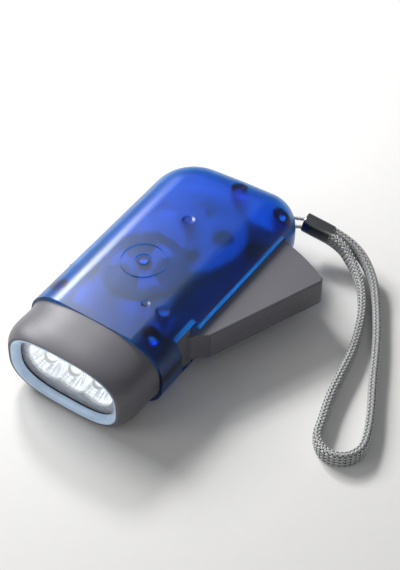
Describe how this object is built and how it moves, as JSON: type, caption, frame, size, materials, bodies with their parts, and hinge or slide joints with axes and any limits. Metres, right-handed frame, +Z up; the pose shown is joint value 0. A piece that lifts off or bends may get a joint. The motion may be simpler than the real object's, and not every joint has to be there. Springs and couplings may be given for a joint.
{
  "type": "squeeze-lever dynamo torch",
  "caption": "Flat translucent hand torch with an oval LED head, a side lever that spins a dynamo flywheel, a slide switch and a wrist strap.",
  "frame": {"origin": "middle of the flat face that the torch rests on", "axes": "+Z up from the table, +Y from the head to the tail, +X to the side where the lever swings out"},
  "size_m": [0.1153, 0.1091, 0.028],
  "materials": {
    "blue_shell": "frosted translucent",
    "grey_plastic": "fine matt grain",
    "pale_knob": "matt",
    "white_nylon": "matt",
    "clear_lens": "clear",
    "dark_rubber": "matt",
    "chrome": "bright plated",
    "led_epoxy": "clear epoxy",
    "board": "solder mask",
    "dark_parts": "moulded",
    "steel": "bright",
    "dark_steel": "blackened",
    "brass": "plain",
    "copper": "enamelled wire",
    "lead_red": "insulation",
    "lead_black": "insulation",
    "strap_cord": "braided"
  },
  "bodies": {
    "housing": {"upper_shell": "blue_shell", "lower_shell": "blue_shell", "housing_screws": "steel", "head_bezel": "grey_plastic", "lens": "clear_lens", "lens_gasket": "dark_rubber", "reflector": "chrome", "led_left": "led_epoxy", "led_centre": "led_epoxy", "led_right": "led_epoxy", "led_board": "board", "rectifier_diodes": "dark_parts", "capacitor": "dark_parts", "battery_cells": "steel", "battery_contacts": "brass", "hinge_pin": "steel", "return_spring": "steel", "gear_axle": "steel", "axle_bushes": "brass", "claw_plate_lower": "steel", "claw_plate_upper": "steel", "coil_bobbin": "white_nylon", "stator_coil": "copper", "switch_housing": "dark_parts", "switch_lugs": "brass", "coil_leads": "lead_red", "switch_leads": "lead_black", "strap_tether": "strap_cord", "strap_ferrule": "chrome", "strap_loop": "strap_cord"},
    "lever": {"lever": "grey_plastic", "sector_gear": "white_nylon", "sector_rivets": "steel"},
    "gears": {"drive_pinion": "white_nylon", "reduction_gear": "white_nylon", "ratchet_pawls": "steel"},
    "flywheel": {"flywheel": "dark_steel", "flywheel_hub": "white_nylon", "flywheel_shaft": "steel", "rotor_magnet": "dark_steel"},
    "switch": {"switch_knob": "pale_knob"}
  },
  "joints": [
    {"name": "lever_swing", "type": "hinge", "parent": "housing", "child": "lever", "pos_m": [0.0165, -0.0235, 0.0138], "axis": [0, 0, 1], "range_deg": [0, 22], "stiffness_Nm_per_rad": 0.9, "springref_deg": -20.05, "deforming": ["return_spring"]},
    {"name": "gear_turn", "type": "hinge", "parent": "housing", "child": "gears", "pos_m": [-0.00025, 0.01447, 0.0138], "axis": [0, 0, 1], "continuous": true},
    {"name": "flywheel_turn", "type": "hinge", "parent": "housing", "child": "flywheel", "pos_m": [-0.0016, -0.00909, 0.0138], "axis": [0, 0, 1], "continuous": true},
    {"name": "switch_slide", "type": "slide", "parent": "housing", "child": "switch", "axis": [0, 1, 0], "range_m": [0, 0.005]}
  ],
  "couplings": [
    {"joint": "gear_turn", "follows": "lever_swing", "ratio": -6.5455},
    {"joint": "flywheel_turn", "follows": "lever_swing", "ratio": 28.562}
  ]
}
